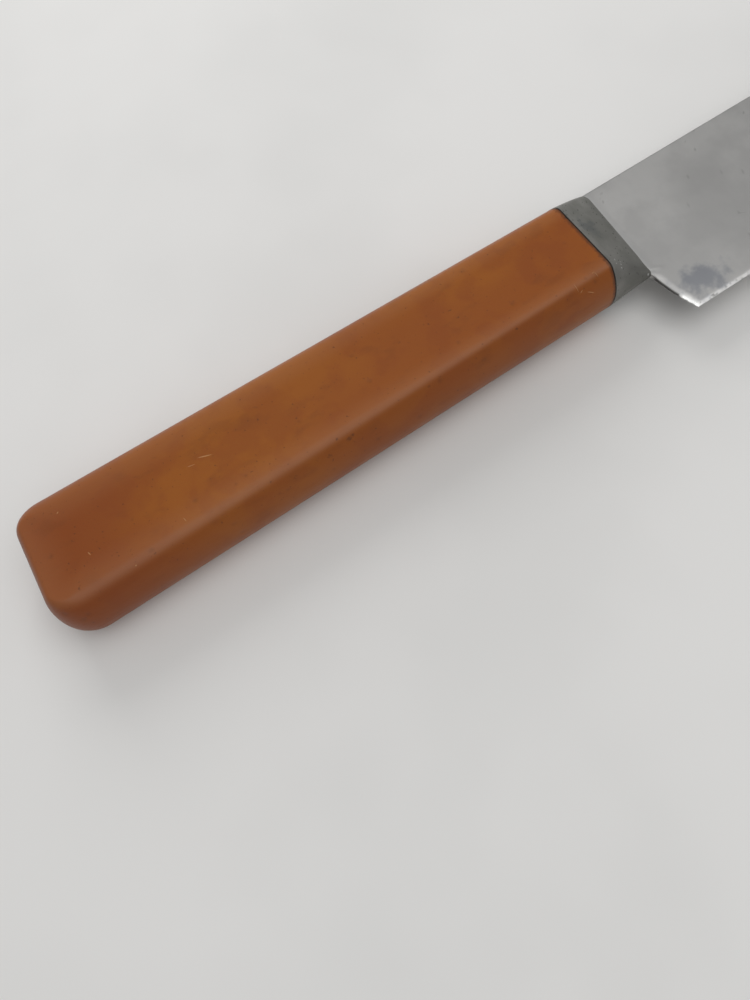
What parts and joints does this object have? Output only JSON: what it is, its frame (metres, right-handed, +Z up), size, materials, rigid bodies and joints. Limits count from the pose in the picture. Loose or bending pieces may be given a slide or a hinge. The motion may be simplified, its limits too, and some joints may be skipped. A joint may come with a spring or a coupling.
{
  "type": "chef knife",
  "caption": "Chef knife with a flat-ground steel blade, a wedge-shaped cast metal bolster and a slab handle of brown resin that widens to a rounded butt.",
  "frame": {"origin": "centre of the handle's flat underside, on the surface that the knife lies on", "axes": "+X along the knife from the butt towards the tip, +Y from the cutting edge towards the spine, +Z up through the knife's thickness, out of its right side"},
  "size_m": [0.3068, 0.036, 0.0148],
  "materials": {
    "blade_steel": "satin ground steel, worn, with faint stains and a bright sharpened bevel",
    "bolster_metal": "dull dark-grey cast metal, finely pitted, with bright nicks",
    "handle_resin": "satin red-brown cast phenolic resin with fine scratches",
    "cement": "matt dark-brown cutler's cement"
  },
  "bodies": {
    "root": {"blade": "blade_steel", "bolster": "bolster_metal", "handle": "handle_resin", "tang_cement": "cement"}
  },
  "joints": []
}
